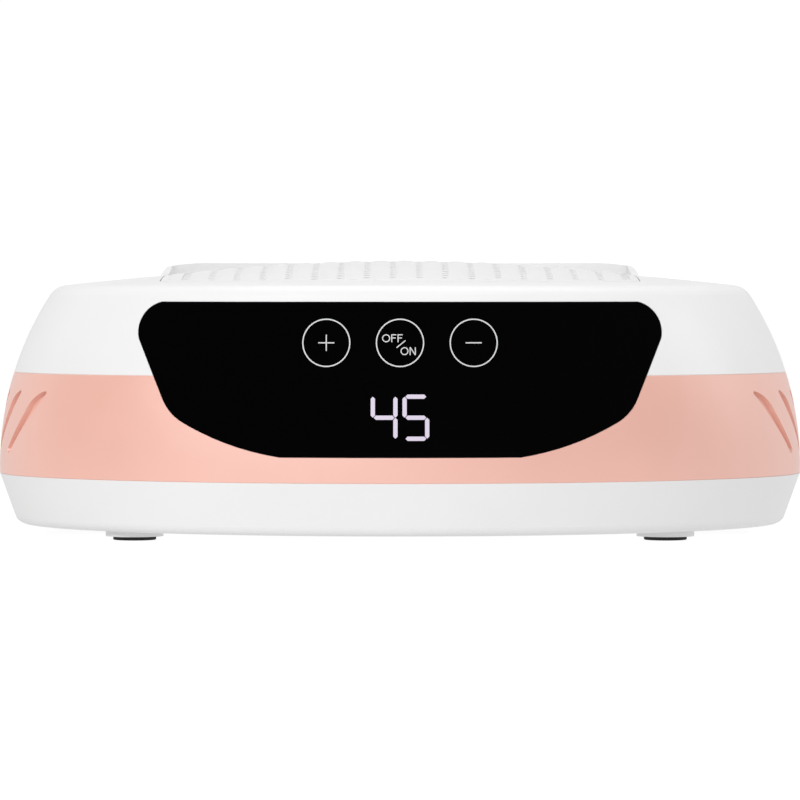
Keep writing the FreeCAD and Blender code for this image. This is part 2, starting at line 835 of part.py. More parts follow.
node(
    "uv_leds_roof",
    group(
        "uv_leds_roof",
        [led(f"roof_led_{i}", x, y, BOARD_LOW, "z", 2.2) for i, (x, y) in enumerate(LED_ROOF)],
    ),
)
SIDE_BOARD_IN = f"{LINER_HALF} + 1"
for side_name, sign in (("left", -1), ("right", 1)):
    low = SIDE_BOARD_IN if sign > 0 else f"-({SIDE_BOARD_IN} + dims.board_thickness)"
    node(
        f"led_board_{side_name}",
        box(f"led_board_{side_name}", low, -44, 17, "dims.board_thickness", 104, 20),
    )
    face = SIDE_BOARD_IN if sign > 0 else f"-({SIDE_BOARD_IN})"
    lamps = [
        led(f"{side_name}_led_{i}", face, y, z, "-x" if sign > 0 else "+x", 2.2)
        for i, (y, z) in enumerate(LED_SIDE)
    ]
    node(f"uv_leds_{side_name}", group(f"uv_leds_{side_name}", lamps))
node("hand_sensor", slab("hand_sensor", 4, 66.3, 72.3, f"{LINER_TOP} - 1.2", BOARD_LOW))

TRAY_TOP = "dims.tray_bottom + dims.tray_thickness"
tray_limit = squeeze("tray_limit", envelope("round_tray_limit", "1"))
tray_plate = slab("tray_plate", "dims.chamber_half_width - 0.4", "-50.6", 100, "dims.tray_bottom", TRAY_TOP)
tray_lip_limit = squeeze("tray_lip_limit", envelope("round_tray_lip_limit", "4"))
tray_lip = cut(
    "tray_lip",
    slab("tray_lip_block", "dims.chamber_half_width - 4", 50, 100, TRAY_TOP, f"{TRAY_TOP} + 1.6"),
    tray_lip_limit,
)
tab_block = slab(
    "tray_tab_block", 24, 88, "dims.squeeze * dims.body_width / 2", "dims.tray_bottom", TRAY_TOP
)
tray_tab = rounded("tray_tab", tab_block, 5, upright)
tray_seats = [rod(f"tray_seat_{s}", s * 50, -40, "dims.tray_bottom - 1", 6.2, 2.6) for s in (-1, 1)]
node(
    "base_tray",
    cut(
        "base_tray",
        fuse(
            "tray_solid",
            common("tray_body", tray_limit, fuse("tray_blank", tray_plate, tray_lip)),
            tray_tab,
        ),
        *tray_seats,
    ),
)
foil_limit = squeeze("foil_limit", envelope("round_foil_limit", "5"))
foil = slab("foil_plate", "dims.chamber_half_width - 3", "-48", 100, TRAY_TOP, f"{TRAY_TOP} + 0.4")
node("tray_reflector", common("tray_reflector", foil, foil_limit))
node(
    "tray_magnets",
    group(
        "tray_magnets", [rod(f"tray_magnet_{s}", s * 50, -40, "dims.tray_bottom", 6, 1.4) for s in (-1, 1)]
    ),
)
node(
    "catch_magnets",
    group(
        "catch_magnets",
        [rod(f"catch_magnet_{s}", s * 50, -40, "dims.base_height + 0.9", 6, 1.4) for s in (-1, 1)],
    ),
)

# ---- fans and the deck that carries them

round_deck = plan("round_deck", 92, 104, "dims.deck_bottom", "dims.deck_thickness", 20)
deck_cuts = at_feet("deck_post_hole", 9, 60, 80)
deck_cuts += [rod(f"deck_screw_hole_{i}", x, y, 60, 2.6, 20) for i, (x, y) in enumerate(DECK_SCREWS)]
FAN_X = {"left": "-dims.fan_offset", "right": "dims.fan_offset"}
deck_cuts += [rod(f"deck_port_{s}", x, 0, 60, "dims.fan_bore", 20) for s, x in FAN_X.items()]
FAN_SCREW = 35.75
fan_screw_spots = [
    (f"{x} + {sx * FAN_SCREW}", sy * FAN_SCREW) for x in FAN_X.values() for sx, sy in CORNERS
]
deck_cuts += [rod(f"deck_fan_hole_{i}", x, y, 60, 3.3, 20) for i, (x, y) in enumerate(fan_screw_spots)]
node("fan_deck", cut("fan_deck", squeeze("deck_oval", round_deck), *deck_cuts))
node(
    "deck_screws",
    group(
        "deck_screws",
        [
            screw_up(f"deck_screw_{i}", x, y, "dims.deck_bottom - 1.5", 2, 6, 4, 1.5)
            for i, (x, y) in enumerate(DECK_SCREWS)
        ],
    ),
)
FAN_LOW = "dims.deck_bottom - dims.fan_height"
node(
    "fan_screws",
    group(
        "fan_screws",
        [
            fuse(
                f"fan_screw_{i}",
                rod(f"fan_screw_head_{i}", x, y, f"{FAN_LOW} - 2", 5.5, 2),
                rod(
                    f"fan_screw_shank_{i}",
                    x,
                    y,
                    f"{FAN_LOW} - 0.1",
                    "dims.screw_size",
                    "dims.fan_height + dims.deck_thickness",
                ),
            )
            for i, (x, y) in enumerate(fan_screw_spots)
        ],
    ),
)
BLADES = 9
BLADE_LEAN = 38
for fan, x in FAN_X.items():
    block = box(
        f"fan_block_{fan}",
        f"{x} - dims.fan_size / 2",
        "-dims.fan_size / 2",
        FAN_LOW,
        "dims.fan_size",
        "dims.fan_size",
        "dims.fan_height",
    )
    frame = rounded(f"fan_block_round_{fan}", block, 4, upright)
    bore = rod(f"fan_bore_{fan}", x, 0, 40, "dims.fan_bore", 40)
    corner_holes = [
        rod(f"fan_{fan}_hole_{i}", f"{x} + {sx * FAN_SCREW}", sy * FAN_SCREW, 40, 3.3, 40)
        for i, (sx, sy) in enumerate(CORNERS)
    ]
    struts = [
        box(f"strut_{fan}_x", f"{x} - dims.fan_bore / 2 - 1", -1.25, FAN_LOW, "dims.fan_bore + 2", 2.5, 2),
        box(
            f"strut_{fan}_y", f"{x} - 1.25", "-dims.fan_bore / 2 - 1", FAN_LOW, 2.5, "dims.fan_bore + 2", 2
        ),
    ]
    hub_base = rod(f"hub_base_{fan}", x, 0, FAN_LOW, 30, 2)
    tube = rod(f"bearing_tube_{fan}", x, 0, FAN_LOW, 9, 11)
    tube_hole = rod(f"bearing_tube_hole_{fan}", x, 0, f"{FAN_LOW} + 1", 7, 20)
    ring = cut(f"fan_ring_{fan}", frame, bore, *corner_holes)
    node(
        f"fan_{fan}_frame",
        cut(f"fan_{fan}_frame", fuse(f"fan_frame_{fan}", ring, hub_base, tube, *struts), tube_hole),
    )
    bearings = []
    for index, z in enumerate((1.2, 7.8)):
        race = rod(f"race_{fan}_{index}", x, 0, f"{FAN_LOW} + {z}", 7, 3)
        bearings.append(
            cut(
                f"bearing_{fan}_{index}",
                race,
                rod(f"race_hole_{fan}_{index}", x, 0, 40, "dims.shaft_size + 0.1", 40),
            )
        )
    node(f"fan_{fan}_bearings", group(f"fan_{fan}_bearings", bearings))
    core = rod(f"stator_core_{fan}", x, 0, f"{FAN_LOW} + 3.4", 24, 6)
    node(f"fan_{fan}_stator", cut(f"fan_{fan}_stator", core, rod(f"stator_hole_{fan}", x, 0, 40, 9, 40)))
    cup = rod(f"hub_cup_{fan}", x, 0, f"{FAN_LOW} + 2.8", "dims.hub_size", "dims.fan_height - 3.6")
    hollow = rod(f"hub_hollow_{fan}", x, 0, FAN_LOW, "dims.hub_size - 4", 12.4)
    shaft = rod(f"shaft_{fan}", x, 0, f"{FAN_LOW} + 1.1", "dims.shaft_size", 12)
    blades = []
    for index in range(BLADES):
        blade = doc.addObject("Part::Box", f"blade_{fan}_{index}")
        bind(blade, {"Length": "dims.rotor_size / 2", "Width": 1.3, "Height": 16})
        turn = Rotation(Vector(0, 0, 1), 360 / BLADES * index)
        lean = turn.multiply(Rotation(Vector(1, 0, 0), BLADE_LEAN))
        blade.Placement = FreeCAD.Placement(Vector(), lean)
        middle = lean.multVec(Vector(0, 0.65, 8))
        bind(
            blade,
            {
                "Placement.Base.x": f"{x} - {middle.x:.4f}",
                "Placement.Base.y": f"-({middle.y:.4f})",
                "Placement.Base.z": f"{FAN_LOW} + 8.6 - {middle.z:.4f}",
            },
        )
        blades.append(blade)
    sweep = rod(f"rotor_sweep_{fan}", x, 0, f"{FAN_LOW} + 2.8", "dims.rotor_size", "dims.fan_height - 3.6")
    inner = rod(f"rotor_inner_{fan}", x, 0, 40, "dims.hub_size - 1", 40)
    vanes = cut(f"vanes_{fan}", common(f"vane_trim_{fan}", sweep, fuse(f"vane_set_{fan}", *blades)), inner)
    node(f"fan_{fan}_rotor", fuse(f"fan_{fan}_rotor", cut(f"hub_{fan}", cup, hollow), shaft, vanes))

# ---- filter

FILTER_LOW = f"({DECK_TOP} + 0.3)"
FRAME_W, FRAME_R = f"{WELL_W} - 0.6", f"{WELL_R} - 0.6"
MEDIA_W, MEDIA_R = f"{WELL_W} - 3.4", f"{WELL_R} - 3.4"
frame_ring = cut(
    "round_filter_frame",
    plan("round_filter_block", FRAME_W, FRAME_R, FILTER_LOW, "dims.filter_height", 4.4),
    plan("round_filter_space", MEDIA_W, MEDIA_R, f"{FILTER_LOW} - 5", 20, 2),
)
bars = []
for index, x in enumerate((-35, 0, 35)):
    bars.append(box(f"filter_bar_{index}", f"{x} - 1", -80, FILTER_LOW, 2, 160, 0.8))
filter_bars = common(
    "filter_bars",
    squeeze(
        "filter_bar_limit", plan("round_filter_bar_limit", f"{WELL_W} - 3", f"{WELL_R} - 3", 60, 30, 2)
    ),
    group("filter_bar_set", bars),
)
node("filter_frame", fuse("filter_frame", squeeze("filter_frame_oval", frame_ring), filter_bars))
PLEATS = 22
PLEAT_LOW, PLEAT_TALL, PAPER = 0.9, 4.6, 0.7
pitch = 2 * number(MEDIA_W) / PLEATS
zigzag = []
for index in range(2 * PLEATS + 1):
    zigzag.append((index * pitch / 2 - pitch * PLEATS / 2, PLEAT_TALL - PAPER if index % 2 else 0))
upper_line = [(x, f"{FILTER_LOW} + {PLEAT_LOW + z + PAPER}") for x, z in reversed(zigzag)]
lower_line = [(x, f"{FILTER_LOW} + {PLEAT_LOW + z}") for x, z in zigzag]
pleated = prism("pleated_sheet", "XZ_Plane", lower_line + upper_line, -80, 160)
media_limit = squeeze("media_limit", plan("round_media_limit", MEDIA_W, MEDIA_R, 60, 30, 2))
node("filter_media", common("filter_media", media_limit, pleated))

# ---- palm rest

count = int(number("dims.groove_count"))
AXIS_HEIGHT = "(dims.dome_top - dims.dome_bend)"


def arched(x, drop):
    """Height above the level turning axis of the rest's surface at x, drop below its top."""
    return f"(dims.dome_bend - ({drop}) - (dims.dome_across - sqrt(dims.dome_across^2 - ({x})^2)))"


edge_x = "(dims.rest_half_width + 2)"
SHEET = "(dims.rest_thickness - 0.3)"
comb = [(f"-{edge_x}", arched(edge_x, SHEET), f"-(dims.dome_across - {SHEET})")]
comb.append((edge_x, arched(edge_x, SHEET)))
comb.append((edge_x, arched(edge_x, 0)))
RIDGE_HALF = "((dims.groove_pitch - dims.groove_width) / 2)"
RIDGE_RADIUS = f"(({RIDGE_HALF}^2 + dims.groove_depth^2) / (2 * dims.groove_depth))"
groove_centres = [
    f"(({count - 1} / 2 - {i}) * dims.groove_pitch + dims.groove_shift)" for i in range(count)
]
ZONE_W, ZONE_R = f"{WELL_W} - 0.1", f"{WELL_R} - 1.7"
for index, centre in enumerate(groove_centres):
    near, far = f"({centre} + dims.groove_width / 2)", f"({centre} - dims.groove_width / 2)"
    if index == 0:
        comb.append((near, arched(near, 0)))
    comb.append((near, arched(near, "dims.groove_depth")))
    bend = (RIDGE_RADIUS,) if index < count - 1 else ()
    comb.append((far, arched(far, "dims.groove_depth"), *bend))
    if index == count - 1:
        comb.append((far, arched(far, 0)))
comb.append((f"-{edge_x}", arched(edge_x, 0)))
ridged = turned("ridged_sheet", comb, "H_Axis", 26, AXIS_HEIGHT)
ridge_zone = squeeze("ridge_zone", plan("round_ridge_zone", ZONE_W, ZONE_R, 60, 60, 6))
border = cut(
    "round_rest_border",
    common(
        "round_rest_sheet",
        plan("round_rest_plan", REST_W, REST_R, 60, 60, 7),
        envelope("round_rest_top", "0"),
    ),
    under_crown("round_below_rest", "dims.rest_thickness"),
    plan("round_border_space", ZONE_W, ZONE_R, 60, 60, 6),
)
hole_cutters = []
reach = number(ZONE_R)
for column, centre in enumerate(groove_centres):
    x = number(centre)
    longest = number("dims.squeeze") * math.sqrt(reach**2 - x**2) - number("dims.hole_size")
    rows = int(longest // number("dims.hole_pitch"))
    for line in range(-rows, rows + 1):
        spot = Vector(x, line * number("dims.hole_pitch"), 60)
        hole_cutters.append(Part.makeCylinder(number("dims.hole_size") / 2, 60, spot))
holes = doc.addObject("Part::Feature", "suction_holes")
holes.Shape = Part.makeCompound(hole_cutters)
rest_plate = fuse("rest_plate", common("ridged_plate", ridged, ridge_zone), squeeze("border_oval", border))
node("palm_rest", cut("palm_rest", rest_plate, holes))

# ---- feet, case screws and the power inlet

for (sx, sy), name in zip(CORNERS, ("front_left", "back_left", "front_right", "back_right")):
    pad = rod(
        f"pad_{name}",
        f"{sx} * dims.foot_x",
        f"{sy} * dims.foot_y",
        0,
        "dims.foot_size",
        "dims.foot_ring_bottom + 0.8",
    )
    node(f"foot_{name}", rounded(f"foot_{name}", pad, 0.4, lambda edge: edge.BoundBox.ZMax < 0.01))
case_screws = [
    screw_up(
        f"case_screw_{i}", f"{sx} * dims.foot_x", f"{sy} * dims.foot_y", 5, "dims.screw_size", 15, 5.6, 2.4
    )
    for i, (sx, sy) in enumerate(CORNERS)
]
node("case_screws", group("case_screws", case_screws))
barrel = rod("inlet_barrel", 0, 0, -11, "dims.inlet_size", 11)
block = box("inlet_block", -5.5, -5.5, -14, 11, 11, 7)
socket = rod("inlet_socket", 0, 0, -10, 6.4, 12)
pin = rod("inlet_pin", 0, 0, -10.5, 2, 8.5)
node(
    "power_inlet",
    at_inlet(fuse("power_inlet", cut("inlet_shell", fuse("inlet_body", barrel, block), socket), pin)),
)

# ---- check and write

doc.recompute()
failed = [item.Name for item in doc.Objects if {"Invalid", "Error"} & set(item.State)]
failed += [
    name
    for name, item in NODES.items()
    if item.Shape.isNull() or not item.Shape.isValid() or not item.Shape.Solids
]
if failed:
    raise RuntimeError(f"these objects failed: {failed}")
os.makedirs("parts", exist_ok=True)
for name, item in NODES.items():
    item.Shape.exportStep(f"parts/{name}.step")
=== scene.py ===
"""Looks of the desk-top UV LED nail lamp: its camera and lights, its finishes and the marks on its panel.

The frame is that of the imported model: +Z up, the touch panel faces -Y, the table is z = 0. Lengths in Blender
are in metres. The body's form and the marks on its panel are worked out in millimetres.
"""

import json
import math

import bpy
import numpy as np
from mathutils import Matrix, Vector


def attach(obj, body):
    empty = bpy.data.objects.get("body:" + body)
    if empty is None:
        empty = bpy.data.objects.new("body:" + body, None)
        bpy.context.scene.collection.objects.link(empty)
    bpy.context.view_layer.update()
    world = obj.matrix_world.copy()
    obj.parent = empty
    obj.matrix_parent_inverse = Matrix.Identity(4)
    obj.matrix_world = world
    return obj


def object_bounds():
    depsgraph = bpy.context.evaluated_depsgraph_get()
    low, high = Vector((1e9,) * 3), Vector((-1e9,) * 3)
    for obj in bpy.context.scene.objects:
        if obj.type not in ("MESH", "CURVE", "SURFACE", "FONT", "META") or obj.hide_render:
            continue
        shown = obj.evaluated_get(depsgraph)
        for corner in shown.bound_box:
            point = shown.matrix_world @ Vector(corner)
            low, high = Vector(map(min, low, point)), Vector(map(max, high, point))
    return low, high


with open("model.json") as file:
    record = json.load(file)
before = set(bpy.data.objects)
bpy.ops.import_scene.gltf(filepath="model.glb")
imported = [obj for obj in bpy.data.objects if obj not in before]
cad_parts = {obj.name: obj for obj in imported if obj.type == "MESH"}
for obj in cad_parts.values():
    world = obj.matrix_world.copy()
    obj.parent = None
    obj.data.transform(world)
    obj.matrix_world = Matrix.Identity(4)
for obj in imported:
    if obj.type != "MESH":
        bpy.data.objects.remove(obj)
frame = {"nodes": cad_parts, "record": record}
cad_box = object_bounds()
nodes = frame["nodes"]
scene = bpy.context.scene
MM = 0.001

# ---- camera

EYE_HEIGHT = 0.0801
EYE_DISTANCE = 1.515
LENS = 220.9
SENSOR_WIDTH = 36
PITCH_DOWN = math.radians(1.307)
NEAREST, FARTHEST = 0.05, 50

camera_data = bpy.data.cameras.new("camera")
camera_data.lens = LENS
camera_data.sensor_width = SENSOR_WIDTH
camera_data.dof.use_dof = False
camera = bpy.data.objects.new("camera", camera_data)
scene.collection.objects.link(camera)
camera.location = (0, cad_box[0].y - EYE_DISTANCE, EYE_HEIGHT)
camera.rotation_euler = (math.pi / 2 - PITCH_DOWN, 0, 0)
camera_data.clip_start, camera_data.clip_end = NEAREST, FARTHEST
scene.camera = camera
scene.view_settings.view_transform = "Standard"

# ---- the body's form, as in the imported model

HALF_WIDTH = 131.5
SIDE_RADIUS = 104.0
WIDEST = 21.7
SQUEEZE = 0.768


def side(z):
    """Half-width in mm of the body at the height z: an arc of SIDE_RADIUS whose widest point is at WIDEST."""
    return HALF_WIDTH - SIDE_RADIUS + np.sqrt(SIDE_RADIUS**2 - (z - WIDEST) ** 2)


def on_front(x, z, lift):
    """Points in metres on the body's front, for arrays x and z in mm, lift mm off it.

    y is minus the oval's half-depth there: SQUEEZE times the root of the half-width squared less x squared.
    """
    y = -SQUEEZE * np.sqrt((side(z) + lift) ** 2 - x**2)
    return np.stack([x, y, z], axis=-1) * MM


def mesh_object(name, points, faces, smooth=True):
    """A mesh of that name from an array of points and an array (or list) of faces."""
    mesh = bpy.data.meshes.new(name)
    mesh.from_pydata(points.reshape(-1, 3).tolist(), [], [list(map(int, f)) for f in faces])
    mesh.polygons.foreach_set("use_smooth", np.full(len(mesh.polygons), smooth))
    mesh.update()
    made = bpy.data.objects.new(name, mesh)
    scene.collection.objects.link(made)
    return made


def band_faces(rows, columns, closed_rows, closed_columns):
    """Quads between neighbours of a grid of points, rows x columns, wrapped round either way if asked."""
    r = np.arange(rows if closed_rows else rows - 1)
    c = np.arange(columns if closed_columns else columns - 1)
    r, c = np.meshgrid(r, c, indexing="ij")
    r2, c2 = (r + 1) % rows, (c + 1) % columns
    quads = np.stack([r * columns + c, r * columns + c2, r2 * columns + c2, r2 * columns + c], axis=-1)
    return quads.reshape(-1, 4)


# ---- marks on the touch panel

PRINT_LIFT = 0.06
SINK = -0.05


def stroke(x, z, width, closed=False):
    """A printed line on the panel, along the path (x, z) in mm.

    At each point of the path is a four-cornered section: the point plus and minus half the width along the
    path's normal, each at SINK and at PRINT_LIFT off the panel's surface. A closed path joins end to start.
    An open one gets two caps.
    """
    x, z = np.asarray(x, float), np.asarray(z, float)
    width = np.broadcast_to(width, x.shape)
    if closed:
        dx, dz = np.roll(x, -1) - np.roll(x, 1), np.roll(z, -1) - np.roll(z, 1)
    else:
        dx, dz = np.gradient(x), np.gradient(z)
    length = np.hypot(dx, dz)
    across_x, across_z = -dz / length * width / 2, dx / length * width / 2
    side_sign = np.array([-1, 1, 1, -1])
    lift = np.array([SINK, SINK, PRINT_LIFT, PRINT_LIFT])
    px = x[:, None] + across_x[:, None] * side_sign
    pz = z[:, None] + across_z[:, None] * side_sign
    points = on_front(px, pz, np.broadcast_to(lift, px.shape))
    count = len(x)
    faces = band_faces(count, 4, closed, True)[:, ::-1].tolist()
    if not closed:
        faces += [[0, 1, 2, 3], [4 * count - 1, 4 * count - 2, 4 * count - 3, 4 * count - 4]]
    return points.reshape(-1, 3), faces


def joined(name, parts):
    """One mesh from several (points, faces) parts."""
    points, faces, start = [], [], 0
    for p, f in parts:
        points.append(p)
        faces += [[i + start for i in face] for face in f]
        start += len(p)
    return mesh_object(name, np.concatenate(points), faces, smooth=False)


KEY_X = (-22.88, 0.0, 22.88)
KEY_Z = 63.1
RING_RADIUS = 7.3
RING_LINE = 0.38
SIGN_HALF = 2.5
SIGN_LINE = 0.34
SIGN_POINTS = 9
SLASH_X = (-1.07, 1.68)
SLASH_Z = (-1.53, 0.74)
SLASH_LINE = 0.3
SLASH_POINTS = 5
turn = np.linspace(0, 2 * np.pi, 97)[:-1]
along = np.linspace(-SIGN_HALF, SIGN_HALF, SIGN_POINTS)
level = np.full(SIGN_POINTS, KEY_Z)
rings = [
    stroke(x + RING_RADIUS * np.cos(turn), KEY_Z + RING_RADIUS * np.sin(turn), RING_LINE, closed=True)
    for x in KEY_X
]
signs = [
    stroke(KEY_X[0] + along, level, SIGN_LINE),
    stroke(np.full(SIGN_POINTS, KEY_X[0]), KEY_Z + along, SIGN_LINE),
    stroke(KEY_X[2] + along, level, SIGN_LINE),
    stroke(np.linspace(*SLASH_X, SLASH_POINTS), KEY_Z + np.linspace(*SLASH_Z, SLASH_POINTS), SLASH_LINE),
]
key_marks = joined("key_marks", rings + signs)

CAP = 2.45
LETTER_LINE = 0.3
F_BAR_LIFT = 0.1
F_BAR_SHARE = 0.86


def letter_o(x, z, width):
    """The letter O as a closed stroke: an ellipse of that width, CAP tall, with its left edge at x."""
    half = width / 2
    inset = LETTER_LINE / 2
    angle = turn[::3]
    across, up = (half - inset) * np.cos(angle), (CAP / 2 - inset) * np.sin(angle)
    return [stroke(x + half + across, z + up, LETTER_LINE, True)]


def letter_f(x, z, width):
    """The letter F as three straight strokes, with its stem at x."""
    top = z + CAP / 2 - LETTER_LINE / 2
    bar = z + F_BAR_LIFT
    return [
        stroke([x, x, x], [z - CAP / 2, z, z + CAP / 2], LETTER_LINE),
        stroke([x, x + width / 2, x + width], [top, top, top], LETTER_LINE),
        stroke([x, x + width / 2, x + F_BAR_SHARE * width], [bar, bar, bar], LETTER_LINE),
    ]


def letter_n(x, z, width):
    """The letter N as two stems and a slanted stroke."""
    low, high = z - CAP / 2, z + CAP / 2
    return [
        stroke([x, x, x], [low, z, high], LETTER_LINE),
        stroke([x, x + width / 2, x + width], [high, z, low], LETTER_LINE),
        stroke([x + width, x + width, x + width], [low, z, high], LETTER_LINE),
    ]


OFF_X, OFF_Z = -5.55, KEY_Z + 1.42
OFF_O_WIDTH = 2.5
F_WIDTH = 1.4
F_OFFSETS = (3.0, 4.95)
ON_X, ON_Z = 0.18, KEY_Z - 2.55
ON_O_WIDTH = 2.45
N_OFFSET, N_WIDTH = 2.95, 1.62
letters = letter_o(OFF_X, OFF_Z, OFF_O_WIDTH)
for offset in F_OFFSETS:
    letters += letter_f(OFF_X + offset, OFF_Z, F_WIDTH)
letters += letter_o(ON_X, ON_Z, ON_O_WIDTH)
letters += letter_n(ON_X + N_OFFSET, ON_Z, N_WIDTH)
key_words = joined("key_words", letters)

# ---- lit digits

DIGIT_Z = 40.03
DIGIT_SPREAD = 4.91
COLUMN = 3.49
ROW = 6.48
SEGMENT_LENGTH = 6.35
SEGMENT_WIDTH = 1.32
TIP_LENGTH = 0.62
TIP_WIDTH = 0.12
TIP_GUARD = 1.2
SEGMENTS = {
    "top": (0, ROW, True),
    "middle": (0, 0, True),
    "bottom": (0, -ROW, True),
    "upper_left": (-COLUMN, ROW / 2, False),
    "upper_right": (COLUMN, ROW / 2, False),
    "lower_left": (-COLUMN, -ROW / 2, False),
    "lower_right": (COLUMN, -ROW / 2, False),
}
SHOWN = {
    -DIGIT_SPREAD: ("upper_left", "upper_right", "middle", "lower_right"),
    DIGIT_SPREAD: ("top", "upper_left", "middle", "lower_right", "bottom"),
}


def segment(centre_x, centre_z, lying):
    """One bar of a digit, SEGMENT_LENGTH long.

    Its width rises from TIP_WIDTH at the end to SEGMENT_WIDTH over TIP_LENGTH, stays there, and falls again.
    """
    half = SEGMENT_LENGTH / 2
    inner = np.array([half - TIP_GUARD, half - TIP_LENGTH, half])
    stations = np.concatenate([-inner[::-1], [0], inner])
    widths = np.full(7, SEGMENT_WIDTH)
    widths[[0, -1]] = TIP_WIDTH
    still = np.zeros(7)
    x, z = (stations, still) if lying else (still, stations)
    return stroke(centre_x + x, centre_z + z, widths)


bars = [
    segment(middle + SEGMENTS[bar][0], DIGIT_Z + SEGMENTS[bar][1], SEGMENTS[bar][2])
    for middle, shown in SHOWN.items()
    for bar in shown
]
lit_digits = joined("lit_digits", bars)

# ---- finishes


def new_material(name):
    """A material of that name, with its node tree and its shader."""
    made = bpy.data.materials.new(name)
    made.use_nodes = True
    tree = made.node_tree
    return made, tree, tree.nodes["Principled BSDF"]


def noise(tree, scale, detail=3, roughness=0.5, stretch=(1, 1, 1)):
    """The value of a noise pattern on object coordinates, with scale cells in a metre."""
    place = tree.nodes.new("ShaderNodeTexCoord")
    mapping = tree.nodes.new("ShaderNodeMapping")
    mapping.inputs["Scale"].default_value = stretch
    pattern = tree.nodes.new("ShaderNodeTexNoise")
    pattern.inputs["Scale"].default_value = scale
    pattern.inputs["Detail"].default_value = detail
    pattern.inputs["Roughness"].default_value = roughness
    tree.links.new(place.outputs["Object"], mapping.inputs["Vector"])
    tree.links.new(mapping.outputs["Vector"], pattern.inputs["Vector"])
    return pattern.outputs["Fac"]


PATTERN_LOW, PATTERN_HIGH = 0.3, 0.7


def ranged(tree, value, low, high):
    """A noise value, which mostly lies between PATTERN_LOW and PATTERN_HIGH, mapped to low..high."""
    spread = tree.nodes.new("ShaderNodeMapRange")
    spread.inputs["From Min"].default_value = PATTERN_LOW
    spread.inputs["From Max"].default_value = PATTERN_HIGH
    spread.inputs["To Min"].default_value = low
    spread.inputs["To Max"].default_value = high
    tree.links.new(value, spread.inputs["Value"])
    return spread.outputs["Result"]


def tinted(tree, value, dark, light):
    """A colour between dark and light by the pattern's value."""
    ramp = tree.nodes.new("ShaderNodeValToRGB")
    first, last = ramp.color_ramp.elements
    first.position, last.position = PATTERN_LOW, PATTERN_HIGH
    first.color, last.color = (*dark, 1), (*light, 1)
    tree.links.new(value, ramp.inputs["Fac"])
    return ramp.outputs["Color"]


def bumped(tree, shader, height, distance, strength):
    """Bump on a shader from a height pattern, distance metres deep."""
    bump = tree.nodes.new("ShaderNodeBump")
    bump.inputs["Distance"].default_value = distance
    bump.inputs["Strength"].default_value = strength
    tree.links.new(height, bump.inputs["Height"])
    tree.links.new(bump.outputs["Normal"], shader.inputs["Normal"])


def shade(colour, factor):
    """A colour made lighter or darker by a factor."""
    return tuple(min(1.0, c * factor) for c in colour)


CLOUD_SCALE = 35
GLOSS_SCALE = 90
GLOSS_SPREAD = 0.07
COAT_ROUGHNESS = 0.42


def moulded(
    name,
    colour,
    roughness,
    specular=0.5,
    peel=0.00001,
    grain=700,
    variation=0.01,
    ior=1.5,
    coat=0.0,
):
    """Moulded plastic: a faintly clouded colour, patches of different gloss, and fine orange peel."""
    made, tree, shader = new_material(name)
    dark, light = shade(colour, 1 - variation), shade(colour, 1 + variation)
    cloud = tinted(tree, noise(tree, CLOUD_SCALE, 4), dark, light)
    tree.links.new(cloud, shader.inputs["Base Color"])
    patches = noise(tree, GLOSS_SCALE, 5)
    smooth, dull = roughness * (1 - GLOSS_SPREAD), roughness * (1 + GLOSS_SPREAD)
    tree.links.new(ranged(tree, patches, smooth, dull), shader.inputs["Roughness"])
    shader.inputs["Specular IOR Level"].default_value = specular
    shader.inputs["IOR"].default_value = ior
    shader.inputs["Coat Weight"].default_value = coat
    shader.inputs["Coat Roughness"].default_value = COAT_ROUGHNESS
    bumped(tree, shader, noise(tree, grain, 2), peel, 0.5)
    return made


def metal(name, colour, roughness, scratch=(1, 1, 1), scale=900):
    """Metal with fine marks: colour, roughness and a slight bump follow a noise that may be stretched."""
    made, tree, shader = new_material(name)
    marks = noise(tree, scale, 4, 0.6, scratch)
    shader.inputs["Metallic"].default_value = 1.0
    tree.links.new(tinted(tree, marks, shade(colour, 0.9), colour), shader.inputs["Base Color"])
    tree.links.new(ranged(tree, marks, roughness * 0.75, roughness * 1.25), shader.inputs["Roughness"])
    bumped(tree, shader, marks, 0.00001, 0.3)
    return made


def glowing(name, colour, strength, base):
    """A lit surface: its glow varies a little from place to place, as through a diffuser."""
    made, tree, shader = new_material(name)
    shader.inputs["Base Color"].default_value = (*base, 1)
    shader.inputs["Roughness"].default_value = 0.4
    glow = tinted(tree, noise(tree, 1500, 2), shade(colour, 0.96), colour)
    tree.links.new(glow, shader.inputs["Emission Color"])
    shader.inputs["Emission Strength"].default_value = strength
    return made


def circuit(name, mask, track):
    """A circuit board: solder mask over square-cornered tracks, a shade lighter where copper lies beneath."""
    made, tree, shader = new_material(name)
    place = tree.nodes.new("ShaderNodeTexCoord")
    cells = tree.nodes.new("ShaderNodeTexBrick")
    cells.inputs["Scale"].default_value = 240
    cells.inputs["Mortar Size"].default_value = 0.06
    cells.inputs["Color1"].default_value = (*mask, 1)
    cells.inputs["Color2"].default_value = (*shade(mask, 1.12), 1)
    cells.inputs["Mortar"].default_value = (*track, 1)
    tree.links.new(place.outputs["Object"], cells.inputs["Vector"])
    tree.links.new(cells.outputs["Color"], shader.inputs["Base Color"])
    tree.links.new(ranged(tree, noise(tree, 400, 2), 0.3, 0.42), shader.inputs["Roughness"])
    bumped(tree, shader, cells.outputs["Fac"], 0.00004, 0.6)
    return made


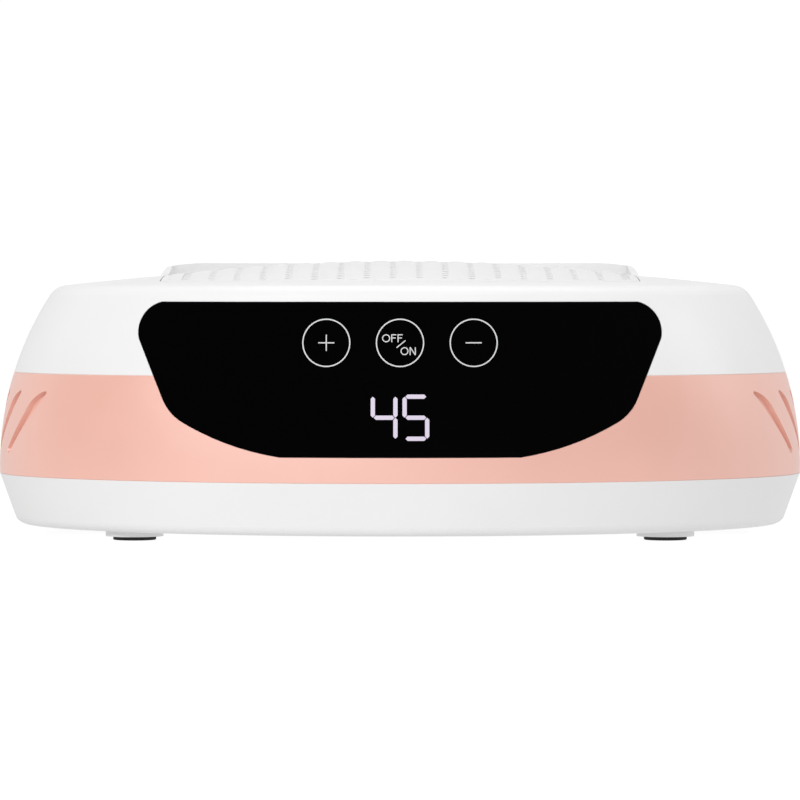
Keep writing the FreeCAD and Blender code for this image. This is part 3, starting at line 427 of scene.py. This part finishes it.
WHITE = (0.80, 0.80, 0.80)
CORAL = (0.87, 0.438, 0.343)
BLACK = (0.012, 0.012, 0.013)
finishes = {
    "white_shell": moulded("glossy white shell", WHITE, 0.3, peel=0.000006),
    "white_rest": moulded("satin white rest", WHITE, 0.4, peel=0.00001),
    "coral_band": moulded(
        "coral satin band", CORAL, 0.46, 1.0, peel=0.000006, variation=0.015, ior=1.85, coat=0.9
    ),
    "black_glass_panel": moulded(
        "black panel", (0.0008, 0.0008, 0.0009), 0.08, 0.5, peel=0.000001, variation=0.1
    ),
    "display_body": moulded("display body", BLACK, 0.5),
    "circuit_board": circuit("green circuit board", (0.02, 0.13, 0.05), (0.05, 0.22, 0.09)),
    "led_board": circuit("white circuit board", (0.72, 0.72, 0.70), (0.8, 0.79, 0.75)),
    "black_component": moulded("moulded component", (0.02, 0.02, 0.022), 0.55, peel=0.00003, grain=2500),
    "steel_screw": metal("zinc plated screw", (0.62, 0.62, 0.64), 0.3),
    "steel_spring": metal("nickel plated spring", (0.7, 0.68, 0.64), 0.25),
    "capacitor_can": moulded("capacitor sleeve", (0.02, 0.03, 0.09), 0.35),
    "inductor_core": moulded(
        "wound ferrite", (0.28, 0.09, 0.03), 0.35, peel=0.0002, grain=1200, variation=0.25
    ),
    "heat_sink_metal": metal("extruded heat sink", (0.75, 0.76, 0.78), 0.35, (1, 1, 12)),
    "reflective_liner": metal("polished reflector", (0.86, 0.87, 0.89), 0.14, (1, 14, 1), 250),
    "uv_led": glowing("violet lens", (0.42, 0.25, 1.0), 0.25, (0.72, 0.68, 0.86)),
    "magnet": metal("plated magnet", (0.66, 0.66, 0.68), 0.2),
    "inner_plastic": moulded("inner white plastic", (0.62, 0.62, 0.62), 0.5, peel=0.00002),
    "fan_plastic": moulded("black fan plastic", BLACK, 0.42, peel=0.00002),
    "bearing_steel": metal("ground steel", (0.6, 0.6, 0.61), 0.18),
    "copper_winding": metal("copper winding", (0.72, 0.33, 0.16), 0.3, (1, 1, 20)),
    "rubber_foot": moulded(
        "black rubber", (0.018, 0.018, 0.018), 0.75, 0.3, peel=0.00004, grain=1800, variation=0.1
    ),
    "inlet_plastic": moulded("black inlet plastic", BLACK, 0.4),
    "filter_frame_plastic": moulded("filter frame plastic", (0.68, 0.68, 0.66), 0.5, peel=0.00002),
    "filter_paper": moulded(
        "filter fleece", (0.78, 0.77, 0.72), 0.95, 0.1, peel=0.0003, grain=2200, variation=0.05
    ),
}
slot_of = {entry["node"]: entry["material_slot"] for entry in frame["record"]["subparts"]}
for node_name, node_object in nodes.items():
    node_object.data.materials.clear()
    node_object.data.materials.append(finishes[slot_of[node_name]])

key_print = moulded("printed grey white", (0.62, 0.62, 0.63), 0.5, 0.3, peel=0.000005, variation=0.03)
digit_glow = glowing("lit display bar", (0.78, 0.70, 0.85), 0.95, (0.0, 0.0, 0.0))
for made in (key_marks, key_words):
    made.data.materials.append(key_print)
lit_digits.data.materials.append(digit_glow)
for made in (key_marks, key_words, lit_digits):
    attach(made, "chassis")

# ---- table and light

FLOOR_RADIUS = 9.0
FLOOR_POINTS = 128
FLOOR_GREY = 0.14
FLOOR_BOUNCE = 0.7
FLOOR_SEEN = 0.92
rim = np.linspace(0, 2 * np.pi, FLOOR_POINTS + 1)[:-1]
rim_x, rim_y = FLOOR_RADIUS * np.cos(rim), FLOOR_RADIUS * np.sin(rim)
floor_disc = np.stack([rim_x, rim_y, np.zeros(FLOOR_POINTS)], axis=-1)
floor = mesh_object("floor", floor_disc, [list(range(FLOOR_POINTS))], False)
floor_finish, floor_tree, floor_shader = new_material("plain white table")
floor_shader.inputs["Base Color"].default_value = (FLOOR_GREY, FLOOR_GREY, FLOOR_GREY, 1)
floor_shader.inputs["Roughness"].default_value = 0.9
floor_shader.inputs["Specular IOR Level"].default_value = 0.0
floor_shader.inputs["Emission Color"].default_value = (1, 1, 1, 1)
floor_rays = floor_tree.nodes.new("ShaderNodeLightPath")
floor_glow = floor_tree.nodes.new("ShaderNodeMapRange")
floor_glow.inputs["To Min"].default_value = FLOOR_BOUNCE
floor_glow.inputs["To Max"].default_value = FLOOR_SEEN
floor_tree.links.new(floor_rays.outputs["Is Camera Ray"], floor_glow.inputs["Value"])
floor_tree.links.new(floor_glow.outputs["Result"], floor_shader.inputs["Emission Strength"])
floor.data.materials.append(floor_finish)

world = bpy.data.worlds.new("studio")
scene.world = world
world.use_nodes = True
sky = world.node_tree
FILL_LEFT = 0.4
FILL_RIGHT = 0.83
FILL_EDGE = 0.8
REFLECTED_DARK = 0.02
REFLECTED_BRIGHT = 0.85
REFLECTED_FROM = 0.0
REFLECTED_TO = 0.45
BACKDROP = 1.05


def sky_light(strength):
    """A plain white sky of that strength."""
    made = sky.nodes.new("ShaderNodeBackground")
    made.inputs["Color"].default_value = (1, 1, 1, 1)
    made.inputs["Strength"].default_value = strength
    return made.outputs[0]


def sky_mix(choice, a, b):
    """Sky a where choice is 0, sky b where it is 1."""
    made = sky.nodes.new("ShaderNodeMixShader")
    sky.links.new(choice, made.inputs[0])
    sky.links.new(a, made.inputs[1])
    sky.links.new(b, made.inputs[2])
    return made.outputs[0]


rays = sky.nodes.new("ShaderNodeLightPath")
heading = sky.nodes.new("ShaderNodeTexCoord")
apart = sky.nodes.new("ShaderNodeSeparateXYZ")
sky.links.new(heading.outputs["Generated"], apart.inputs[0])


def sky_share(axis, low, high):
    """How far a sky direction lies from low, 0, to high, 1, along an axis."""
    made = sky.nodes.new("ShaderNodeMapRange")
    made.inputs["From Min"].default_value = low
    made.inputs["From Max"].default_value = high
    sky.links.new(apart.outputs[axis], made.inputs["Value"])
    return made.outputs["Result"]


behind = sky_share("Y", REFLECTED_FROM, REFLECTED_TO)
reflected = sky_mix(behind, sky_light(REFLECTED_DARK), sky_light(REFLECTED_BRIGHT))
rightward = sky_share("X", -FILL_EDGE, FILL_EDGE)
diffused = sky_mix(rightward, sky_light(FILL_LEFT), sky_light(FILL_RIGHT))
lit = sky_mix(rays.outputs["Is Glossy Ray"], diffused, reflected)
seen = sky_mix(rays.outputs["Is Camera Ray"], lit, sky_light(BACKDROP))
sky.links.new(seen, sky.nodes["World Output"].inputs["Surface"])


AIM_POINT = (0, 0, 0.05)


def softbox(name, place, width, height, power):
    """A soft rectangular light at a place, aimed at AIM_POINT in the middle of the body."""
    data = bpy.data.lights.new(name, "AREA")
    data.shape = "RECTANGLE"
    data.size, data.size_y = width, height
    data.energy = power
    made = bpy.data.objects.new(name, data)
    scene.collection.objects.link(made)
    made.location = place
    aim = Vector(AIM_POINT) - Vector(place)
    made.rotation_mode = "QUATERNION"
    made.rotation_quaternion = aim.to_track_quat("-Z", "Y")
    return made


front = softbox("front left light", (-0.8, -1.55, 0.95), 1.7, 0.7, 21)
right_rim = softbox("right rim light", (1.45, 0.05, 0.6), 0.35, 0.7, 1.5)
top = softbox("top light", (0.1, 0.2, 1.6), 1.4, 1.0, 6)
unlit = bpy.data.collections.new("kept out of the studio lights")
unlit.objects.link(nodes["touch_panel"])
unlit.collection_objects[0].light_linking.link_state = "EXCLUDE"
for light in (front, right_rim, top):
    light.light_linking.receiver_collection = unlit
